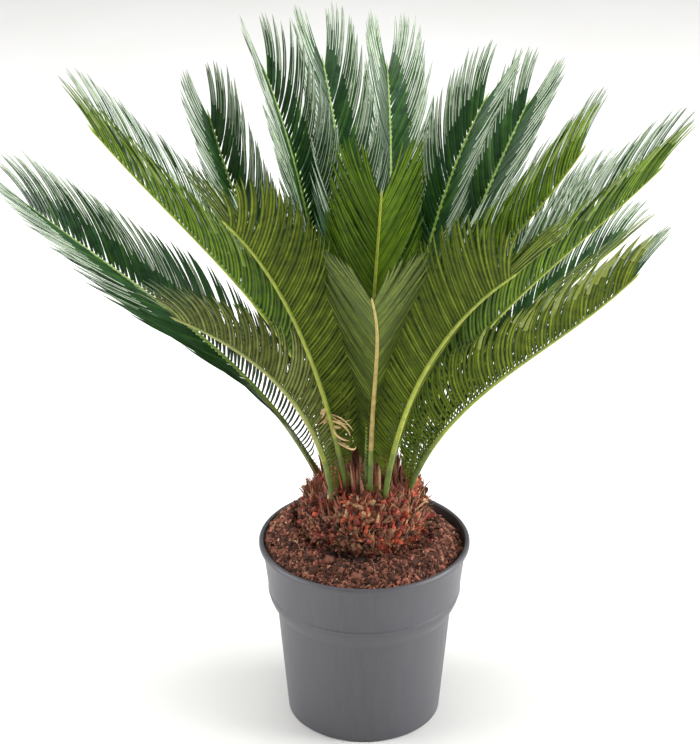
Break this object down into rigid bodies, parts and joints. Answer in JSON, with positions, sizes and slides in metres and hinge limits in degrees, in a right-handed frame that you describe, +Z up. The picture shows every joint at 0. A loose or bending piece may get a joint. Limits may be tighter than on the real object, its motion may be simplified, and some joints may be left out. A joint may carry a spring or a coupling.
{
  "type": "potted sago palm",
  "caption": "Sago palm in a round nursery pot: stout scaly trunk under a spreading crown of stiff feather-shaped fronds, standing on the pot's flat underside.",
  "frame": {"origin": "centre of the pot's flat underside, on the surface that the pot stands on", "axes": "+Z up along the pot's axis, -Y towards the front of the plant, +X to the front view's right"},
  "size_m": [0.7794, 0.8389, 0.8004],
  "materials": {
    "pot": "satin moulded polypropylene, mid grey, with a faint vertical and turned grain",
    "soil": "loose peat and coir compost with bark chips, dull and rough",
    "trunk": "overlapping dried leaf bases and fibres, red-brown to straw, matt",
    "frond": "leathery leaflets, dark green and waxy above, duller olive below, on yellow-green ribs"
  },
  "bodies": {
    "root": {"pot": "pot", "soil": "soil", "trunk": "trunk", "frond_outer_01": "frond", "frond_outer_02": "frond", "frond_outer_03": "frond", "frond_outer_04": "frond", "frond_outer_05": "frond", "frond_outer_06": "frond", "frond_outer_07": "frond", "frond_outer_08": "frond", "frond_outer_09": "frond", "frond_outer_10": "frond", "frond_outer_11": "frond", "frond_outer_12": "frond", "frond_middle_01": "frond", "frond_middle_02": "frond", "frond_middle_03": "frond", "frond_middle_04": "frond", "frond_middle_05": "frond", "frond_middle_06": "frond", "frond_middle_07": "frond", "frond_middle_08": "frond", "frond_inner_01": "frond", "frond_inner_02": "frond"}
  },
  "joints": []
}
